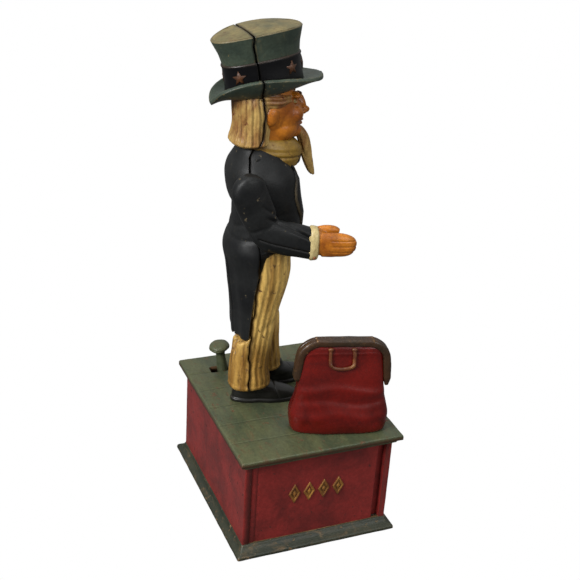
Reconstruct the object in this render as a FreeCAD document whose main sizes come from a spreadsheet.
import FreeCAD, Part
import Sketcher
import math
import os

from FreeCAD import Placement, Rotation, Vector

# Mechanical bank: a standing figure on a boarded box drops a coin from its hand into a travelling bag.
# Millimetres. +Z is up, the figure faces -Y, and the origin is the middle of the underside of the base.

doc = FreeCAD.newDocument("MechanicalBank")
sheet = doc.addObject("Spreadsheet::Sheet", "Dims")

DIMENSIONS = {
    # base box
    "rim_width": 121.0, "rim_depth": 99.5, "rim_edge": 2.4, "rim_rise": 7.0, "rim_inset": 5.2,
    "floor_recess": 3.0, "recess_width": 106.0, "recess_depth": 84.0,
    "wall_width": 109.8, "wall_depth": 90.5, "wall_thick": 3.0, "wall_top": 60.2,
    "flange_width": 6.0, "panel_sink": 1.4,
    "stage_top": 66.5, "stage_thick": 3.2, "stage_width": 119.2, "stage_depth": 98.6, "stage_radius": 2.0,
    "moulding_width": 114.4, "moulding_depth": 94.6, "moulding_hollow": 4.6,
    "plank_count": 6.0, "groove_width": 0.7, "groove_deep": 0.5,
    "boss_x": 45.0, "boss_y": 36.0, "boss_radius": 4.6, "boss_drop": 12.0,
    "screw_radius": 2.0, "screw_head_radius": 3.8, "screw_head_height": 1.8, "hole_slack": 0.1,
    "trap_radius": 13.5, "trap_cover_radius": 16.2, "trap_cover_thick": 1.5, "trap_screw_x": 24.0,
    # figure
    "figure_x": 10.0, "left_shoulder_y": 19.3, "shoulder_y": 32.0, "shoulder_z": 206.0, "shell_thick": 3.2,
    "hat_y": 19.0, "hat_z": 255.0, "hat_tilt": 10.0,
    # bag
    "bag_x": -38.6, "bag_y": -16.6, "bag_turn": 75.0, "bag_tall": 58.6, "bag_wall": 2.6,
    "flap_pin_y": -2.6, "flap_pin_z": 5.0, "flap_pin_radius": 1.2,
    # lever work
    "lever_pin_y": -30.0, "lever_z": 51.0, "lever_pin_radius": 2.0, "lever_thick": 5.0,
    "knob_x": 42.0, "knob_y": 27.0, "knob_radius": 6.4,
    "arm_rod_x": 3.0, "arm_rod_y": 20.5, "beard_rod_x": 8.0, "beard_rod_y": 23.5,
    "bag_rod_u": 12.0, "bag_rod_n": -9.6, "bag_rod_rise": 6.6,
    "rod_radius": 1.1, "eye_radius": 3.0, "eye_bore": 1.7, "eye_thick": 2.2, "crank_pin": 1.0,
    "spring_x": 42.0, "spring_y": 4.0, "spring_radius": 4.6, "spring_wire": 0.7,
    "beard_pin_y": 7.0, "beard_pin_z": 231.0, "beard_pin_radius": 1.0,
    "crank_lead": 15.0, "tail_lead": 11.3,
    "axle_radius": 2.0, "arm_inner": -13.8, "arm_thick": 11.0, "arm_splay": -12.0, "palm_slot": 2.8,
}


def fill_sheet():
    """Put every driving dimension in the sheet, one row each, with its alias."""
    for row, (alias, value) in enumerate(DIMENSIONS.items(), start=1):
        sheet.set(f"A{row}", alias)
        sheet.set(f"B{row}", str(value))
        sheet.setAlias(f"B{row}", alias)
    doc.recompute()


fill_sheet()


def dim(alias):
    """A driving dimension, read back from the sheet."""
    return float(sheet.get(alias))


SUB_PARTS = []


def sub_part(obj, label):
    """Name a finished piece and list it for writing."""
    obj.Label = label
    SUB_PARTS.append(obj)
    return obj


def bind(obj, **sizes):
    """Bind properties of an object to expressions: x, y and z stand for its place."""
    places = {"x": "Placement.Base.x", "y": "Placement.Base.y", "z": "Placement.Base.z"}
    for name, rule in sizes.items():
        obj.setExpression(places.get(name, name), rule)
    return obj


def d(text):
    """Write @word for a cell of the sheet."""
    return text.replace("@", "Dims.")


def box(name, length, width, height, x, y, z):
    """A box centred on x and y, standing on z; every size is a rule on the sheet."""
    obj = doc.addObject("Part::Box", name)
    return bind(obj, Length=d(length), Width=d(width), Height=d(height),
                x=d(f"{x} - ({length}) / 2"), y=d(f"{y} - ({width}) / 2"), z=d(z))


AXIS_TURNS = {"Z": Rotation(), "X": Rotation(Vector(0, 1, 0), 90), "Y": Rotation(Vector(1, 0, 0), -90)}


def rod(name, radius, length, x, y, z, axis="Z"):
    """A round bar that starts at the place given and runs along +axis."""
    obj = doc.addObject("Part::Cylinder", name)
    obj.Placement = Placement(Vector(), AXIS_TURNS[axis])
    return bind(obj, Radius=d(radius), Height=d(length), x=d(x), y=d(y), z=d(z))


def fuse(name, *pieces):
    obj = doc.addObject("Part::MultiFuse", name)
    obj.Shapes = list(pieces)
    obj.Refine = True
    return obj


def cut(name, base, *tools):
    obj = doc.addObject("Part::Cut", name)
    obj.Base = base
    obj.Tool = tools[0] if len(tools) == 1 else fuse(f"{name}_tools", *tools)
    obj.Refine = True
    return obj


def common(name, first, second):
    obj = doc.addObject("Part::Common", name)
    obj.Base = first
    obj.Tool = second
    return obj


def fixed_shape(name, shape):
    """A shape made with Part's own functions, as an object of the document."""
    obj = doc.addObject("Part::Feature", name)
    obj.Shape = shape
    return obj


# ---- sketch helpers for the PartDesign bodies -------------------------------------------------------

def origin_plane(body, role="XY_Plane"):
    return next(feature for feature in body.Origin.OriginFeatures if feature.Role == role)


def new_body(name):
    return doc.addObject("PartDesign::Body", name)


def flat_sketch(body, name, height):
    """An empty sketch parallel to the ground at a height given by a rule."""
    sketch = body.newObject("Sketcher::SketchObject", name)
    sketch.AttachmentSupport = [(origin_plane(body), "")]
    sketch.MapMode = "FlatFace"
    sketch.setExpression("AttachmentOffset.Base.z", d(height))
    return sketch


def add_rectangle(sketch, width, depth, x="0", y="0"):
    """A rectangle centred on a point, its sides and its place set by rules."""
    first = sketch.GeometryCount
    corners = [Vector(-9, -7), Vector(9, -7), Vector(9, 7), Vector(-9, 7)]
    for start, end in zip(corners, corners[1:] + corners[:1]):
        sketch.addGeometry(Part.LineSegment(start, end), False)
    for side in range(4):
        sketch.addConstraint(Sketcher.Constraint("Coincident", first + side, 2, first + (side + 1) % 4, 1))
    for side, kind in enumerate(("Horizontal", "Vertical", "Horizontal", "Vertical")):
        sketch.addConstraint(Sketcher.Constraint(kind, first + side))
    limits = (("DistanceX", first, 1, first, 2, 18.0, width),
              ("DistanceY", first + 1, 1, first + 1, 2, 14.0, depth))
    for kind, a, a_end, b, b_end, start_value, rule in limits:
        index = sketch.addConstraint(Sketcher.Constraint(kind, a, a_end, b, b_end, start_value))
        sketch.setExpression(f"Constraints[{index}]", d(rule))
    places = (("DistanceX", -9.0, f"({x}) - ({width}) / 2"), ("DistanceY", -7.0, f"({y}) - ({depth}) / 2"))
    for kind, start_value, rule in places:
        index = sketch.addConstraint(Sketcher.Constraint(kind, -1, 1, first, 1, start_value))
        sketch.setExpression(f"Constraints[{index}]", d(rule))


def add_circle(sketch, radius, x="0", y="0"):
    index = sketch.addGeometry(Part.Circle(Vector(3, 3, 0), Vector(0, 0, 1), 2.0), False)
    rules = (("Radius", (index, 2.0), radius), ("DistanceX", (-1, 1, index, 3, 3.0), x),
             ("DistanceY", (-1, 1, index, 3, 3.0), y))
    for kind, values, rule in rules:
        number = sketch.addConstraint(Sketcher.Constraint(kind, *values))
        sketch.setExpression(f"Constraints[{number}]", d(rule))


def pad(body, sketch, name, length):
    feature = body.newObject("PartDesign::Pad", name)
    feature.Profile = sketch
    feature.setExpression("Length", d(length))
    sketch.Visibility = False
    return feature


def pocket(body, sketch, name, length, upwards=False):
    """Cut down from the sketch, or up from it; a pocket that removes nothing is an error."""
    doc.recompute()
    before = body.Shape.Volume
    feature = body.newObject("PartDesign::Pocket", name)
    feature.Profile = sketch
    feature.setExpression("Length", d(length))
    feature.Reversed = upwards
    doc.recompute()
    if body.Shape.Volume >= before - 1e-3:
        raise RuntimeError(f"{name} cut nothing")
    return feature


# ---- base box ---------------------------------------------------------------------------------------

# Places of the four tie screws, as shares of boss_x and boss_y. The back left one stands clear of the
# knob's stem when the lever is down, and the two on the right stand clear of the bag's own screws.
CORNERS = [(0.7, 1), (1, -1), (-0.8, -1), (-0.8, 1)]


def build_base_plate():
    """Flared rim with a floor, a coin trap hole and four screw holes, hollow underneath."""
    body = new_body("base_plate")
    edge = flat_sketch(body, "rim_outline", "0")
    add_rectangle(edge, "@rim_width", "@rim_depth")
    pad(body, edge, "rim_band", "@rim_edge")
    low = flat_sketch(body, "slope_foot", "@rim_edge")
    add_rectangle(low, "@rim_width", "@rim_depth")
    high = flat_sketch(body, "slope_head", "@rim_rise")
    add_rectangle(high, "@rim_width - 2 * @rim_inset", "@rim_depth - 2 * @rim_inset + 1.2")
    slope = body.newObject("PartDesign::AdditiveLoft", "rim_slope")
    slope.Profile = low
    slope.Sections = [high]
    recess = flat_sketch(body, "recess_outline", "0")
    add_rectangle(recess, "@recess_width", "@recess_depth")
    pocket(body, recess, "recess", "@floor_recess", upwards=True)
    holes = flat_sketch(body, "floor_holes", "0")
    add_circle(holes, "@trap_radius")
    add_circle(holes, "@screw_radius + @hole_slack", x="@trap_screw_x")
    for side, end in CORNERS:
        add_circle(holes, "@screw_radius + @hole_slack", x=f"{side} * @boss_x", y=f"{end} * @boss_y")
    pocket(body, holes, "floor_hole", "@rim_rise + 1", upwards=True)
    return sub_part(body, "base_plate")


def build_end_wall(name, side):
    """The front or back wall, with the two strips that turn the corners of the side panels."""
    wall = box(f"{name}_sheet", "@wall_width", "@wall_thick", "@wall_top - @rim_rise",
               "0", f"{side} * (@wall_depth - @wall_thick) / 2", "@rim_rise")
    strips = [box(f"{name}_strip_{hand}", "@wall_thick", "@flange_width", "@wall_top - @rim_rise",
                  f"{hand} * (@wall_width - @wall_thick) / 2",
                  f"{side} * (@wall_depth - @flange_width) / 2", "@rim_rise") for hand in (-1, 1)]
    return sub_part(fuse(name, wall, *strips), name)


LOZENGE_PLACES = (-1.5, -0.5, 0.5, 1.5)
LOZENGE_PITCH = 11.5


def build_side_panel(name, hand):
    """A side panel let in between the corner strips and sunk behind their faces."""
    slab = box(f"{name}_slab", "@wall_thick", "@wall_depth - 2 * @flange_width - 0.2",
               "@wall_top - @rim_rise",
               f"{hand} * ((@wall_width - @wall_thick) / 2 - @panel_sink)", "0", "@rim_rise")
    lap = box(f"{name}_lap", "1.2", "@wall_depth - 2 * @wall_thick - 0.2", "@wall_top - @rim_rise",
              f"{hand} * (@wall_width / 2 - @wall_thick - 0.7)", "0", "@rim_rise")
    pieces = [slab, lap]
    if hand < 0:
        pieces += [ornament_lozenge(f"{name}_lozenge_{place}", place) for place in LOZENGE_PLACES]
    return sub_part(fuse(name, *pieces), name)


def ornament_lozenge(name, place):
    """One raised lozenge of the plain row across the visible side panel."""
    lozenge = doc.addObject("Part::Box", name)
    lozenge.Placement = Placement(Vector(), Rotation(Vector(1, 0, 0), 45))
    return bind(lozenge, Length="1.6", Width="7", Height="7",
                x=d("-@wall_width / 2 + @panel_sink - 1"), y=f"{place} * {LOZENGE_PITCH}",
                z="36 - 7 * 0.7071")


def build_stage():
    """The boarded top: planks, stepped moulding, screw bosses, lever lugs and the slots through it."""
    body = new_body("stage")
    under = flat_sketch(body, "moulding_outline", "@wall_top")
    add_rectangle(under, "@moulding_width", "@moulding_depth")
    pad(body, under, "moulding", "@stage_top - @stage_thick - @wall_top")
    top = flat_sketch(body, "board_outline", "@stage_top - @stage_thick")
    add_rectangle(top, "@stage_width", "@stage_depth")
    pad(body, top, "boards", "@stage_thick")
    hollow = flat_sketch(body, "hollow_outline", "@wall_top")
    add_rectangle(hollow, "@moulding_width - 2 * @moulding_hollow", "@moulding_depth - 2 * @moulding_hollow")
    pocket(body, hollow, "hollow", "@stage_top - @stage_thick - @wall_top", upwards=True)
    grooves = flat_sketch(body, "plank_grooves", "@stage_top")
    for place in (-2, -1, 0, 1, 2):
        add_rectangle(grooves, "@groove_width", "@stage_depth + 2",
                      x=f"{place} * @stage_width / @plank_count")
    pocket(body, grooves, "plank_groove", "@groove_deep")
    bosses = [rod(f"boss_{number}", "@boss_radius", "@boss_drop", f"{side} * @boss_x", f"{end} * @boss_y",
                  "@stage_top - @stage_thick - @boss_drop") for number, (side, end) in enumerate(CORNERS)]
    bores = [rod(f"boss_bore_{number}", "@screw_radius + @hole_slack", "@boss_drop", f"{side} * @boss_x",
                 f"{end} * @boss_y", "@stage_top - @stage_thick - @boss_drop - 1")
             for number, (side, end) in enumerate(CORNERS)]
    lugs = []
    for number, place in enumerate(LEVER_LUGS):
        lugs.append(box(f"lug_{number}", "3", "9", "@stage_top - @stage_thick - @lever_z + 4",
                        place, "@lever_pin_y", "@lever_z - 4"))
        bores.append(rod(f"lug_bore_{number}", "@lever_pin_radius + 0.05", "5", f"{place} - 2.5",
                         "@lever_pin_y", "@lever_z", axis="X"))
    solid = fuse("stage_with_bosses", body, *bosses, *lugs)
    slots = [
        box("knob_slot", "7.2", "12.4", "8", "@knob_x", "@knob_y + 3.8", "@stage_top - 6"),
        rod("arm_rod_hole", "2.2", "8", "@arm_rod_x", "@arm_rod_y", "@stage_top - 6"),
        rod("beard_rod_hole", "2.2", "8", "@beard_rod_x", "@beard_rod_y", "@stage_top - 6"),
        bag_box("coin_slot", "31", "6.4", "8", "0", "4.6", "-6"),
        bag_box("bag_rod_slot", "7.6", "7", "8", "@bag_rod_u", "@bag_rod_n", "-6"),
    ]
    for number, (place_x, place_y) in enumerate(FOOT_SCREWS):
        slots.append(rod(f"foot_hole_{number}", "1.6", "8", place_x, place_y, "@stage_top - 6"))
    for number, place in enumerate(BAG_SCREWS):
        slots.append(in_bag(rod(f"bag_hole_{number}", "1.6", "8", "0", "0", "0"), place, "4.6", "-6"))
    return sub_part(cut("stage_plate", solid, *slots, *bores), "stage_plate")


def in_bag(obj, u, n, rise):
    """Place an object by its distances along and across the bag, and its height above the stage."""
    obj.Placement = Placement(Vector(), Rotation(Vector(0, 0, 1), dim("bag_turn")))
    u, n = d(u), d(n)
    return bind(obj, x=d(f"@bag_x + ({u}) * cos(@bag_turn * 1 deg) - ({n}) * sin(@bag_turn * 1 deg)"),
                y=d(f"@bag_y + ({u}) * sin(@bag_turn * 1 deg) + ({n}) * cos(@bag_turn * 1 deg)"),
                z=d(f"@stage_top + ({rise})"))


def bag_box(name, length, width, height, u, n, rise):
    """A box laid along the bag's own directions, centred on its place there."""
    obj = doc.addObject("Part::Box", name)
    bind(obj, Length=d(length), Width=d(width), Height=d(height))
    return in_bag(obj, f"({u}) - ({length}) / 2", f"({n}) - ({width}) / 2", rise)


LEVER_LUGS = ("-30", "47")
FOOT_SCREWS = (("-0.5", "3"), ("22", "-1"))
BAG_SCREWS = ("-20.6", "20.6")


def build_tie_screws():
    """Four long screws that hold base plate, walls and stage together."""
    screws = []
    for number, (side, end) in enumerate(CORNERS):
        shank = rod(f"tie_shank_{number}", "@screw_radius", "@stage_top - @stage_thick - @floor_recess - 2",
                    f"{side} * @boss_x", f"{end} * @boss_y", "@floor_recess")
        head = rod(f"tie_head_{number}", "@screw_head_radius", "@screw_head_height",
                   f"{side} * @boss_x", f"{end} * @boss_y", "@floor_recess - @screw_head_height")
        notch = box(f"tie_notch_{number}", "9", "0.9", "0.8", f"{side} * @boss_x", f"{end} * @boss_y",
                    "@floor_recess - @screw_head_height - 0.1")
        screws.append(cut(f"tie_screw_{number}", fuse(f"tie_blank_{number}", shank, head), notch))
    return sub_part(compound("tie_screws", screws), "tie_screws")


def compound(name, pieces):
    """Several equal solids in one node."""
    obj = doc.addObject("Part::Compound", name)
    obj.Links = pieces
    return obj


def build_coin_trap():
    """A round cover that swings about its screw to open the hole in the floor."""
    disc = rod("trap_disc", "@trap_cover_radius", "@trap_cover_thick", "0", "0",
               "@floor_recess - 0.3 - @trap_cover_thick")
    ear = rod("trap_ear", "5", "@trap_cover_thick", "@trap_screw_x", "0",
              "@floor_recess - 0.3 - @trap_cover_thick")
    bridge = box("trap_bridge", "14", "9", "@trap_cover_thick", "@trap_screw_x - 8", "0",
                 "@floor_recess - 0.3 - @trap_cover_thick")
    bore = rod("trap_bore", "@screw_radius + 0.06", "6", "@trap_screw_x", "0", "-1")
    sub_part(cut("coin_trap_cover", fuse("trap_blank", disc, ear, bridge), bore), "coin_trap_cover")
    shank = rod("trap_shank", "@screw_radius", "@rim_rise", "@trap_screw_x", "0", "1")
    head = rod("trap_head", "@screw_head_radius", "0.8", "@trap_screw_x", "0", "0.2")
    nut = rod("trap_nut", "3.8", "2.4", "@trap_screw_x", "0", "@rim_rise")
    sub_part(fuse("coin_trap_screw", shank, head, nut), "coin_trap_screw")


# ---- figure -----------------------------------------------------------------------------------------
# Each row of a form: height, place across from the figure's middle, place along Y, half width, half depth.

FORMS = {
    "coat": [(152, 0, 19, 21.5, 15.5), (165, 0, 18.5, 22, 17.5), (177, 0, 16, 20.5, 18.3),
             (187, 0, 16, 22, 18.3), (197, 0, 18, 23.2, 18.6), (207, 0, 20.5, 22.5, 18.2),
             (213, 0, 22.3, 20, 16.5), (218, 0, 23.2, 15.5, 14), (223, 0, 23.5, 12.5, 12.5)],
    "tails": [(110.5, -1.5, 29, 17, 5), (125, -1.2, 28, 19, 7.5), (140, -0.5, 27, 20.5, 9.5),
              (155, 0, 24.5, 21.5, 13), (168, 0, 22, 20.5, 14)],
    "right_leg": [(75, -7, 26, 9.2, 11.8), (82, -7, 26, 9.6, 12.2), (92, -7, 26.2, 9, 11.6),
                  (110, -7.4, 24.5, 9.2, 11.6), (130, -9, 22, 10.5, 12.5), (152, -9.5, 18.5, 12, 14.5),
                  (160, -8, 18, 12, 14)],
    "left_leg": [(75, 10.5, 10, 9.2, 11.6), (82, 10.5, 10, 9.6, 12), (92, 10.5, 10.2, 9, 11.4),
                 (110, 10.2, 11.5, 9.2, 11.6), (130, 9.6, 14.5, 10.5, 12.5), (152, 9.5, 17.5, 12, 14.5),
                 (160, 8, 18, 12, 14)],
    "right_shoe": [(66.5, -7, 13.4, 7.2, 20.4), (70, -7, 13.4, 7.4, 20.6), (74, -7, 15, 7, 18.6),
                   (79, -6.8, 19.4, 6.4, 12.6)],
    "right_heel": [(66.5, -4, 21.4, 6.8, 7.6), (70, -4, 21.4, 6.9, 7.7), (79, -4.4, 21.6, 6.8, 7.6)],
    "left_shoe": [(66.5, 10.6, -3.4, 7.2, 20.4), (70, 10.6, -3.4, 7.4, 20.6), (74, 10.6, -1.8, 7, 18.6),
                  (79, 10.6, 2.6, 6.4, 12.6)],
    "head": [(217, 0, 22, 10.5, 13), (226, 0, 19.5, 11.6, 17.5), (236, 0, 18.5, 12.2, 19),
             (248, 0, 18.5, 12.4, 19.4), (258, 0, 19.5, 12, 18)],
    "torso_hollow": [(150, 0, 19, 17, 11.5), (165, 0, 18.5, 18, 13.2), (187, 0, 17, 18.2, 14.5),
                     (200, 0, 19, 19, 14.8), (210, 0, 21.5, 17, 13)],
    # the hat's rows are in its own tilted frame, from the middle of the brim
    "crown": [(0.5, 0, 1, 13.6, 21), (8, 0, 1, 13.2, 20.6), (14, 0, 1.1, 13.2, 20.8),
              (22, 0, 1.4, 14.2, 22.4), (32.6, 0, 1.8, 15.8, 24.8)],
    "brim": [(-1.4, 0, 0, 18.4, 31.5), (0, 0, 0, 19, 32.3), (1.4, 0, 0, 18.6, 31.6)],
}
FIELDS = ("rise", "across", "along", "half_width", "half_depth")
RING_POINTS = 16


def fill_forms():
    """Add every row of every form to the sheet."""
    row = len(DIMENSIONS) + 1
    for name, rows in FORMS.items():
        for number, values in enumerate(rows):
            for field, value in zip(FIELDS, values):
                alias = f"{name}_{number}_{field}"
                sheet.set(f"A{row}", alias)
                sheet.set(f"B{row}", str(value))
                sheet.setAlias(f"B{row}", alias)
                row += 1
    doc.recompute()


fill_forms()


def oval(rise, across, along, half_width, half_depth, turn=0.0, middle=None):
    """A closed oval wire level with the ground."""
    middle = dim("figure_x") if middle is None else middle
    turned = Rotation(Vector(0, 0, 1), turn)
    points = []
    for number in range(RING_POINTS):
        angle = 2 * math.pi * number / RING_POINTS
        offset = turned.multVec(Vector(half_width * math.cos(angle), half_depth * math.sin(angle), 0))
        points.append(Vector(middle + across, along, rise) + offset)
    curve = Part.BSplineCurve()
    curve.interpolate(Points=points, PeriodicFlag=True)
    return Part.Wire(curve.toShape())


def form(name, turn=0.0, middle=None):
    """The solid that runs smoothly through the ovals of one form."""
    rings = []
    for number in range(len(FORMS[name])):
        values = [dim(f"{name}_{number}_{field}") for field in FIELDS]
        rings.append(oval(*values, turn=turn, middle=middle))
    return Part.makeLoft(rings, True, False)


def hat_form():
    """Crown and brim, leant back together."""
    crown = form("crown", middle=0.0)
    brim = form("brim", middle=0.0)
    hat = crown.fuse(brim)
    hat.Placement = Placement(Vector(dim("figure_x"), dim("hat_y"), dim("hat_z")),
                              Rotation(Vector(1, 0, 0), -dim("hat_tilt")))
    return hat


def seam_prism():
    """The space behind the parting line, which wanders in Y on its way up the figure."""
    line = [(27.5, 60), (28, 110), (26.5, 140), (26, 165), (30, 190), (32, 203), (32, 209), (32.5, 220),
            (27, 230), (26, 241), (31.5, 262), (38.5, 288), (41, 300)]
    corners = [Vector(-40, along, rise) for along, rise in line + [(80, 300), (80, 60)]]
    outline = Part.makePolygon(corners + corners[:1])
    return Part.Face(outline).extrude(Vector(100, 0, 0))


def outside_form(behind):
    """The figure's outside surface on one side of the parting line, as one solid."""
    pieces = [form(name) for name in ("coat", "tails", "right_leg", "left_leg")]
    pieces += [form("right_shoe", turn=-12.0), form("right_heel"), form("left_shoe", turn=9.0)]
    pieces += [form("head"), hat_form()]
    rear = seam_prism()
    halves = [piece.common(rear) if behind else piece.cut(rear) for piece in pieces]
    whole, *others = [half for half in halves if half.Solids]
    for other in others:
        whole = whole.fuse(other)
    return whole


def figure_hollows():
    """The spaces inside the castings: rod shafts, room for the crank and the beard's tail, and bores."""
    shaft_width = "@beard_rod_x - @arm_rod_x + 4"
    hollows = [
        box("leg_shaft", shaft_width, "@beard_rod_y - @arm_rod_y + 4", "100",
            "(@beard_rod_x + @arm_rod_x) / 2", "(@beard_rod_y + @arm_rod_y) / 2", "@stage_top - 1"),
        fixed_shape("torso_hollow", form("torso_hollow")),
        box("neck_shaft", "5.6", "6", "30", "@beard_rod_x", "@beard_rod_y", "203"),
        box("head_room", "11", "23", "21", "@beard_rod_x + 1.6", "@beard_rod_y - 7.6", "221"),
        box("chin_slot", "6.8", "22", "13.4", "@figure_x", "@beard_pin_y - 8", "226"),
        rod("beard_bore", "@beard_pin_radius", "20", "0", "@beard_pin_y", "@beard_pin_z", axis="X"),
        rod("axle_bore", "@axle_radius + 0.05", "35", "-15", "@shoulder_y", "@shoulder_z", axis="X"),
        box("crank_room", "9", "20.4", "20", "@arm_rod_x - 1", "@shoulder_y - 4.4", "@shoulder_z - 8"),
        rod("left_arm_bore", "@axle_radius", "20", "25", "@left_shoulder_y", "@shoulder_z", axis="X"),
    ]
    for number, (place_x, place_y) in enumerate(FOOT_SCREWS):
        hollows.append(rod(f"foot_bore_{number}", "1.5", "8", place_x, place_y, "@stage_top - 1"))
    for number, (rise, along, _) in enumerate(BODY_RIVETS):
        hollows.append(rod(f"rivet_bore_{number}", "1.5", "70", "-20", along, rise, axis="X"))
    return hollows


def build_figure():
    """Two hollow castings that meet along the parting line."""
    hollows = figure_hollows()
    for label, behind in (("figure_back", True), ("figure_front", False)):
        casting = fixed_shape(f"{label}_outside", outside_form(behind))
        for hollow in hollows:
            casting = cut(f"{label}_less_{hollow.Name}", casting, hollow)
            casting.Refine = False
        doc.recompute()
        largest = max(casting.Shape.Solids, key=lambda solid: solid.Volume)
        sub_part(fixed_shape(label, largest), label)


# height, place along Y and half length of each cross rivet
BODY_RIVETS = (("220.5", "26.5", "13.6"), ("160", "14", "21"))


def build_body_rivets():
    """Two cross rivets that pull the castings together."""
    rivets = []
    for number, (rise, along, half) in enumerate(BODY_RIVETS):
        rivets.append(rod(f"body_rivet_{number}", "1.5", f"2 * {half}", f"@figure_x - {half}", along, rise,
                          axis="X"))
    sub_part(compound("body_rivets", rivets), "body_rivets")


def build_foot_screws():
    """Screws that come up through the stage into the soles."""
    screws = []
    for number, (place_x, place_y) in enumerate(FOOT_SCREWS):
        shank = rod(f"foot_shank_{number}", "1.5", "@stage_thick + 7", place_x, place_y,
                    "@stage_top - @stage_thick")
        head = rod(f"foot_head_{number}", "3", "1.6", place_x, place_y, "@stage_top - @stage_thick - 1.6")
        screws.append(fuse(f"foot_screw_{number}", shank, head))
    for number, place in enumerate(BAG_SCREWS):
        shank = in_bag(rod(f"bag_shank_{number}", "1.5", "@stage_thick + 5", "0", "0", "0"), place, "4.6",
                       "-@stage_thick")
        head = in_bag(rod(f"bag_head_{number}", "3", "1.6", "0", "0", "0"), place, "4.6",
                      "-@stage_thick - 1.6")
        screws.append(fuse(f"bag_screw_{number}", shank, head))
    sub_part(compound("stage_screws", screws), "stage_screws")


# ---- arms -------------------------------------------------------------------------------------------

UPPER_ARM = [(33, 217.3), (40.5, 214.5), (44.2, 206), (42.4, 197), (38.5, 188.5), (34, 180.5), (27, 174.5),
             (19, 176.5), (19, 189), (21.5, 198), (23.6, 207.5), (27, 214.3)]
FOREARM = [(34, 181), (27, 173.6), (14, 169), (2.3, 165.2), (0.2, 174), (-0.9, 183), (9, 186.6), (19, 190.5),
           (28, 190), (34, 186)]
ARM_PARTING = [(60, 190), (39, 188), (33.5, 182.2), (26, 179), (2, 171.2), (-40, 171.2), (-40, 150),
               (60, 150)]
HAND = [(4, 165.8), (-8, 164.2), (-18, 165), (-24.5, 168.4), (-26, 172.3), (-22, 177), (-14, 179.4),
        (4, 178.6)]


def plate_from_outline(outline, low, thick, rounded=False):
    """A plate square to X, from x = low, with the outline given in Y and Z."""
    points = [Vector(low, along, rise) for along, rise in outline]
    if rounded:
        curve = Part.BSplineCurve()
        curve.interpolate(Points=points, PeriodicFlag=True)
        wire = Part.Wire(curve.toShape())
    else:
        wire = Part.makePolygon(points + points[:1])
    return Part.Face(wire).extrude(Vector(thick, 0, 0))


def splayed(shape):
    """Turn a forearm piece outwards about the elbow."""
    turned = shape.copy()
    turned.rotate(Vector(dim("arm_inner"), 30, 0), Vector(0, 0, 1), dim("arm_splay"))
    return turned


def build_right_arm():
    """The coin arm: an upper casting, and a lower one that carries the hand with its coin groove."""
    outer = dim("arm_inner") - dim("arm_thick")
    thick = dim("arm_thick")
    upper = plate_from_outline(UPPER_ARM, outer, thick, rounded=True)
    forearm = splayed(plate_from_outline(FOREARM, outer, thick))
    below = plate_from_outline(ARM_PARTING, -60, 80)
    sleeve = fixed_shape("sleeve_form", upper.fuse(forearm))
    parting = fixed_shape("arm_parting", below)
    hand = fixed_shape("hand_form", splayed(plate_from_outline(HAND, outer + 1.2, thick - 2.4, rounded=True)))
    slot_middle = outer + thick / 2
    groove = Part.makeBox(dim("palm_slot"), 30, 30, Vector(slot_middle - dim("palm_slot") / 2, -30, 170.5))
    palm_slot = fixed_shape("palm_slot", splayed(groove))
    bore = rod("arm_axle_bore", "@axle_radius", "20", "@arm_inner - 15", "@shoulder_y", "@shoulder_z",
               axis="X")
    sub_part(cut("right_arm_upper", sleeve, parting, bore), "right_arm_upper")
    strip = common("lower_sleeve", sleeve, parting)
    low_hand = fuse("lower_blank", strip, hand)
    sub_part(cut("right_arm_lower", low_hand, palm_slot, fixed_shape("sleeve_end", upper_part_only())),
             "right_arm_lower")


def upper_part_only():
    """The sleeve above the parting line, kept out of the hand casting."""
    outer = dim("arm_inner") - dim("arm_thick")
    sleeve = splayed(plate_from_outline(FOREARM, outer, dim("arm_thick")))
    return sleeve.cut(plate_from_outline(ARM_PARTING, -60, 80))


def loft_of(rows):
    """The solid through ovals given as height, X, Y, half width and half depth."""
    return Part.makeLoft([oval(*row, middle=0.0) for row in rows], True, False)


def build_left_arm():
    """The other arm, cast in one with its closed hand, hanging a little bent beside the coat."""
    rows = [(216, 33.6, 19.5, 3, 6), (210, 35.4, 19.3, 5.4, 8.8), (200, 36.6, 18.6, 6, 9.2),
            (188, 38, 16.6, 6.1, 8.6), (176, 38.6, 15.2, 6, 8.2), (164, 38.2, 13.2, 5.8, 7.8),
            (157, 37.8, 12, 5.4, 7.2)]
    sleeve = loft_of(rows)
    hand_rows = [(158, 37.8, 11.8, 4.4, 6), (150, 37.6, 10.4, 5, 6.6), (142, 37.2, 9.4, 4.6, 5.8),
                 (138, 37, 9, 2.6, 3.4)]
    hand = loft_of(hand_rows)
    form_all = fixed_shape("left_arm_form", sleeve.fuse(hand))
    bore = rod("left_arm_pin_bore", "@axle_radius", "30", "20", "@left_shoulder_y", "@shoulder_z", axis="X")
    body_side = fixed_shape("left_side_coat", form("coat"))
    sub_part(cut("left_arm", form_all, bore, body_side), "left_arm")
    sub_part(rod("left_arm_pin", "@axle_radius", "14", "26", "@left_shoulder_y", "@shoulder_z", axis="X"),
             "left_arm_pin")


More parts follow.
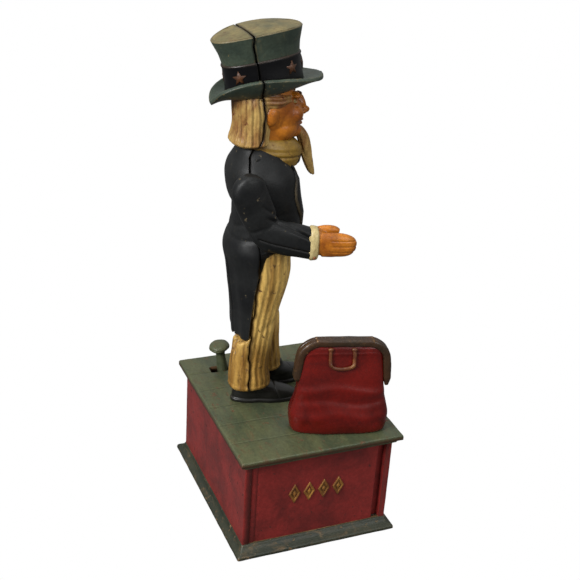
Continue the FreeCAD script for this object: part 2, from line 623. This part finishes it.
def build_arm_shaft():
    """The shaft through the shoulder, with the crank that the arm rod pulls inside the body."""
    shaft = rod("right_arm_shaft", "@axle_radius", "@arm_thick - @arm_inner + 0.4",
                "@arm_inner - @arm_thick + 1", "@shoulder_y", "@shoulder_z", axis="X")
    sub_part(shaft, "right_arm_shaft")
    web = crank_web("crank_web", dim("arm_rod_x") - 4.6, 2.2, (dim("shoulder_y"), dim("shoulder_z")),
                    crank_tip(), 4.2)
    bore = rod("crank_bore", "@axle_radius", "10", "@arm_rod_x - 8", "@shoulder_y", "@shoulder_z", axis="X")
    tip_y, tip_z = crank_tip()
    pin = rod("crank_pin_bar", "@crank_pin", "4.2", "@arm_rod_x - 2.6", f"{tip_y}", f"{tip_z}", axis="X")
    sub_part(cut("arm_crank", fuse("crank_blank", fixed_shape("crank_plate", web), pin), bore), "arm_crank")


def crank_tip():
    """Y and Z of the crank pin at rest: forward of the shaft and a little above it."""
    lead = math.radians(dim("crank_lead"))
    reach = dim("shoulder_y") - dim("arm_rod_y")
    return (dim("arm_rod_y"), dim("shoulder_z") + reach * math.tan(lead))


def crank_web(name, low, thick, first, second, width):
    """A flat link with round ends between two points of the YZ plane."""
    ends = [Part.makeCylinder(width if point is first else 2.4, thick, Vector(low, *point), Vector(1, 0, 0))
            for point in (first, second)]
    along = Vector(0, second[0] - first[0], second[1] - first[1])
    side = Vector(0, -along.z, along.y).normalize().multiply(2.2)
    a = Vector(low, *first)
    b = Vector(low, *second)
    outline = Part.makePolygon([a + side, b + side, b - side, a - side, a + side])
    strip = Part.Face(outline).extrude(Vector(thick, 0, 0))
    return strip.fuse(ends)


# ---- beard ------------------------------------------------------------------------------------------

BEARD = [(9, 233.5), (-3, 234), (-6.6, 228), (-8.4, 215), (-12.6, 206), (-11, 203.4), (-8.4, 205),
         (-4.6, 216), (-3.6, 225.4), (-1.5, 228.6), (9, 228.6)]


def tail_tip():
    """Y and Z of the pin on the beard's tail at rest."""
    lead = math.radians(dim("tail_lead"))
    reach = dim("beard_rod_y") - dim("beard_pin_y")
    return (dim("beard_rod_y"), dim("beard_pin_z") + reach * math.tan(lead))


def build_beard():
    """The chin beard, its pivot eye and the tail that the beard rod pulls down."""
    front = plate_from_outline(BEARD, dim("figure_x") - 2.8, 5.6)
    pivot = (dim("beard_pin_y"), dim("beard_pin_z"))
    eye = Part.makeCylinder(3, 5.6, Vector(dim("figure_x") - 2.8, *pivot), Vector(1, 0, 0))
    tail = crank_web("tail", dim("figure_x") - 0.2, 2.4, pivot, tail_tip(), 3.0)
    blank = fixed_shape("beard_blank", front.fuse([eye, tail]))
    tip_y, tip_z = tail_tip()
    pin = rod("tail_pin", "@crank_pin", "4.6", "@beard_rod_x - 2.4", f"{tip_y}", f"{tip_z}", axis="X")
    bore = rod("beard_eye_bore", "@beard_pin_radius + 0.06", "20", "@figure_x - 10", "@beard_pin_y",
               "@beard_pin_z", axis="X")
    sub_part(cut("beard", fuse("beard_with_pin", blank, pin), bore), "beard")
    sub_part(rod("beard_pin", "@beard_pin_radius", "18", "1", "@beard_pin_y", "@beard_pin_z", axis="X"),
             "beard_pin")


# ---- bag --------------------------------------------------------------------------------------------
# The bag is drawn about its own middle: x along it, y across it with + to the outside, z up from the stage.

BAG_FRONT = [(-25.6, 0), (-28.2, 6), (-28.6, 12), (-26.4, 20), (-25, 30), (-26.4, 32), (-26.8, 46),
             (-24, 54.6), (-18, 58.6)]
BAG_SIDE = [(0, 0), (9.6, 0), (11.4, 3), (11.4, 12), (8.4, 30), (5, 50), (5, 58.6), (0, 58.6)]
BAG_SIDE_HOLLOW = [(-1, -1), (8, -1), (8.8, 3), (8.8, 12), (5.8, 30), (2.4, 48), (2.4, 55), (-1, 55)]
FLAP_SIDE = [(-0.3, 58.2), (-4.6, 58.2), (-5, 50), (-8.4, 30), (-11.2, 14), (-11.2, 8), (-9.4, 4.6),
             (-0.3, 1.8)]
FLAP_SIDE_HOLLOW = [(1, 55), (-2.2, 55), (-2.6, 48), (-5.8, 30), (-8.6, 14), (-8.6, 9), (1, 9)]


def bag_slice(front, side, sink=0.0):
    """The solid that shows one outline from the side and the other from the end."""
    left = [(x + sink, z) for x, z in front]
    right = [(-x, z) for x, z in reversed(left)]
    face_points = [Vector(x, -20, z) for x, z in left + right]
    across = Part.Face(Part.makePolygon(face_points + face_points[:1])).extrude(Vector(0, 40, 0))
    side_points = [Vector(-40, y, z) for y, z in side]
    along = Part.Face(Part.makePolygon(side_points + side_points[:1])).extrude(Vector(80, 0, 0))
    return across.common(along)


def bag_place(shape):
    """Put a shape drawn about the bag's middle where the bag stands."""
    placed = shape.copy()
    placed.Placement = Placement(Vector(dim("bag_x"), dim("bag_y"), dim("stage_top")),
                                 Rotation(Vector(0, 0, 1), dim("bag_turn")))
    return placed


def build_bag():
    """The fixed outer half with its frame, and the flap on the figure's side that opens for the coin."""
    wall = dim("bag_wall")
    outer = bag_slice(BAG_FRONT, BAG_SIDE)
    inner = bag_slice([(x, z - 0.01) for x, z in BAG_FRONT], BAG_SIDE_HOLLOW, sink=wall)
    shell = outer.cut(inner)
    handle = Part.makeTorus(6.4, 0.8, Vector(0, 6, 50), Vector(0, 1, 0.05))
    handle = handle.common(Part.makeBox(20, 20, 12, Vector(-10, 0, 38)))
    pin_y, pin_z = dim("flap_pin_y"), dim("flap_pin_z")
    ears = []
    for low in (-25.2, 22.2):
        ears.append(Part.makeBox(3, 6, pin_z + 3, Vector(low, pin_y - 2.4, 0)))
    posts = [Part.makeCylinder(3.2, 6, Vector(float(place), 4.6, 0)) for place in BAG_SCREWS]
    bores = [Part.makeCylinder(1.5, 20, Vector(float(place), 4.6, -1)) for place in BAG_SCREWS]
    pin_bore = Part.makeCylinder(dim("flap_pin_radius"), 60, Vector(-30, pin_y, pin_z), Vector(1, 0, 0))
    posts_inside = [post.common(outer) for post in posts]
    shell = shell.fuse([handle.cut(outer)] + ears + posts_inside).cut(bores + [pin_bore])
    sub_part(fixed_shape("bag_outer_half", bag_place(shell)), "bag_outer_half")

    flap_blank = bag_slice(BAG_FRONT, FLAP_SIDE)
    flap_hollow = bag_slice(BAG_FRONT, FLAP_SIDE_HOLLOW, sink=wall)
    flap = flap_blank.cut(flap_hollow)
    gap = 0.4
    reliefs = [Part.makeBox(7, 8 + 2 * gap, pin_z + 5.4, Vector(low, pin_y - 4, -1))
               for low in (-25.2 - 4 + gap, 22.2 - gap)]
    u, n = dim("bag_rod_u"), dim("bag_rod_n")
    bore = Part.makeCylinder(dim("flap_pin_radius") + 0.06, 60, Vector(-30, pin_y, pin_z), Vector(1, 0, 0))
    pad_around = Part.makeCylinder(3.0, 43, Vector(-21.5, pin_y, pin_z), Vector(1, 0, 0))
    pad_around = pad_around.common(Part.makeBox(60, 2.9, 12, Vector(-30, pin_y - 0.6, 0)))
    rise = dim("bag_rod_rise")
    lug = Part.makeBox(2.2, 1.6 - n, 4.2, Vector(u + 2.1, n - 1.6, rise - 2.1))
    tail_pin = Part.makeCylinder(dim("crank_pin"), 5.2, Vector(u - 2.4, n, rise), Vector(1, 0, 0))
    window = Part.makeBox(7.4, 7.8, 12, Vector(u - 4.4, n - 4.4, -1))
    flap = flap.cut(reliefs + [window]).fuse([pad_around, lug, tail_pin]).cut(bore)
    sub_part(fixed_shape("bag_flap", bag_place(flap)), "bag_flap")
    pin = Part.makeCylinder(dim("flap_pin_radius"), 50.4, Vector(-25.2, pin_y, pin_z), Vector(1, 0, 0))
    sub_part(fixed_shape("bag_hinge_pin", bag_place(pin)), "bag_hinge_pin")


# ---- lever work -------------------------------------------------------------------------------------

def build_lever():
    """A cast lever with three arms on one hub; the rear arm carries the knob, the others pull the rods."""
    hub = rod("lever_hub", "3.6", "68.2", "-27.8", "@lever_pin_y", "@lever_z", axis="X")
    hub_bore = rod("lever_hub_bore", "@lever_pin_radius + 0.05", "90", "-35", "@lever_pin_y", "@lever_z",
                   axis="X")
    low = "@lever_z - @lever_thick / 2"
    bag_x, bag_y = bag_rod_place()
    arms = []
    for name, middle, width, reach in (("knob_arm", "@knob_x", "6", "@knob_y + 3.4"),
                                       ("figure_arm", "(@arm_rod_x + @beard_rod_x) / 2", "1.6",
                                        "@beard_rod_y + 2.6"),
                                       ("bag_arm", f"{bag_x} + 3.2", "2.2", f"{bag_y} + 2.6")):
        arms.append(box(name, width, f"{reach} - @lever_pin_y", "@lever_thick", middle,
                        f"(@lever_pin_y + {reach}) / 2", low))
    rib = box("lever_rib", "40", "4", "3", "22", "-4", "@lever_z - 1.5")
    pins = [rod("arm_rod_pin", "@crank_pin", "4.6", "@arm_rod_x - 2.4", "@arm_rod_y", "@lever_z", axis="X"),
            rod("beard_rod_pin", "@crank_pin", "4.6", "@beard_rod_x - 2.2", "@beard_rod_y", "@lever_z",
                axis="X"),
            rod("bag_rod_pin", "@crank_pin", "4.6", f"{bag_x} - 2.3", f"{bag_y}", "@lever_z", axis="X")]
    seat = rod("knob_seat", "2.4", "20", "@knob_x", "@knob_y", "@lever_z - 10")
    sub_part(cut("push_lever", fuse("lever_blank", hub, *arms, rib, *pins), hub_bore, seat), "push_lever")
    sub_part(rod("lever_shaft", "@lever_pin_radius", "82", "-32.5", "@lever_pin_y", "@lever_z", axis="X"),
             "lever_shaft")


def build_knob():
    """The mushroom knob: a button on a leaning stem that is riveted into the lever."""
    foot = Part.makeCylinder(2.4, 6.5, Vector(0, 0, -3))
    stem = Part.makeCone(3.0, 2.6, 27, Vector(0, 0, 3.2))
    button = Part.makeCone(3.4, 6.2, 1.8, Vector(0, 0, 29.4))
    button = button.fuse([Part.makeCylinder(6.4, 1.4, Vector(0, 0, 31.2)),
                          Part.makeCone(6.4, 3.6, 1.4, Vector(0, 0, 32.6))])
    upper = stem.fuse(button)
    upper.rotate(Vector(0, 0, 3.2), Vector(1, 0, 0), -7)
    knob = foot.fuse(upper)
    level = dim("lever_z") - dim("lever_thick") / 2
    knob.translate(Vector(dim("knob_x"), dim("knob_y"), level + 3))
    under_lever = Part.makeBox(20, 20, 10, Vector(dim("knob_x") - 10, dim("knob_y") - 10, level - 10))
    sub_part(fixed_shape("push_knob", knob.cut(under_lever)), "push_knob")


def bag_rod_place():
    """X and Y of the bag rod, from its place along and across the bag."""
    turn = math.radians(dim("bag_turn"))
    u, n = dim("bag_rod_u"), dim("bag_rod_n")
    return (round(dim("bag_x") + u * math.cos(turn) - n * math.sin(turn), 4),
            round(dim("bag_y") + u * math.sin(turn) + n * math.cos(turn), 4))


def build_rod(name, x, y, low, high, top_turn=0.0):
    """A wire rod with a flattened eye at each end; the upper eye may face another way."""
    thick, radius = dim("eye_thick"), dim("eye_radius")
    stem = Part.makeCylinder(dim("rod_radius"), high - low, Vector(x, y, low))
    solid = stem
    bores = []
    for rise, turn in ((low, 0.0), (high, top_turn)):
        way = Rotation(Vector(0, 0, 1), turn).multVec(Vector(1, 0, 0))
        centre = Vector(x, y, rise)
        solid = solid.fuse(Part.makeCylinder(radius, thick, centre - way * (thick / 2), way))
        bores.append(Part.makeCylinder(dim("eye_bore"), thick + 4, centre - way * (thick / 2 + 2), way))
    sub_part(fixed_shape(name, solid.cut(bores)), name)


def build_rods():
    build_rod("arm_rod", dim("arm_rod_x"), dim("arm_rod_y"), dim("lever_z"), crank_tip()[1])
    build_rod("beard_rod", dim("beard_rod_x"), dim("beard_rod_y"), dim("lever_z"), tail_tip()[1])
    x, y = bag_rod_place()
    build_rod("bag_rod", x, y, dim("lever_z"), dim("stage_top") + dim("bag_rod_rise"), dim("bag_turn"))


def build_spring():
    """The coil spring that stands on the floor and lifts the lever."""
    low = dim("rim_rise") + dim("spring_wire") + 0.05
    high = dim("lever_z") - dim("lever_thick") / 2 - dim("spring_wire") - 0.05
    turns = 8
    path = Part.makeHelix((high - low) / turns, high - low, dim("spring_radius"))
    section = Part.Wire(Part.makeCircle(dim("spring_wire"), Vector(dim("spring_radius"), 0, 0),
                                        Vector(0, 1, 0)))
    coil = Part.Wire(path).makePipeShell([section], True, True)
    coil.translate(Vector(dim("spring_x"), dim("spring_y"), low))
    sub_part(fixed_shape("return_spring", coil), "return_spring")


# ---- make, check and write --------------------------------------------------------------------------

def build_all():
    build_base_plate()
    build_end_wall("front_wall", -1)
    build_end_wall("back_wall", 1)
    build_side_panel("right_side_panel", -1)
    build_side_panel("left_side_panel", 1)
    build_stage()
    build_tie_screws()
    build_coin_trap()
    build_figure()
    build_body_rivets()
    build_foot_screws()
    build_right_arm()
    build_left_arm()
    build_arm_shaft()
    build_beard()
    build_bag()
    build_lever()
    build_knob()
    build_rods()
    build_spring()


def check_and_write():
    """Stop on any failed object or bad shape, then write one STEP file for each sub-part."""
    doc.recompute()
    failed = [obj.Label for obj in doc.Objects if {"Invalid", "Error"} & set(obj.State)]
    for obj in SUB_PARTS:
        shape = obj.Shape
        if shape.isNull() or not shape.isValid() or not shape.Solids:
            failed.append(f"{obj.Label}: bad shape")
    if failed:
        raise RuntimeError("failed: " + ", ".join(failed))
    os.makedirs("parts", exist_ok=True)
    for obj in SUB_PARTS:
        obj.Shape.exportStep(f"parts/{obj.Label}.step")
        print(f"{obj.Label:20s} solids {len(obj.Shape.Solids)}  volume {obj.Shape.Volume:10.1f}")


build_all()
check_and_write()
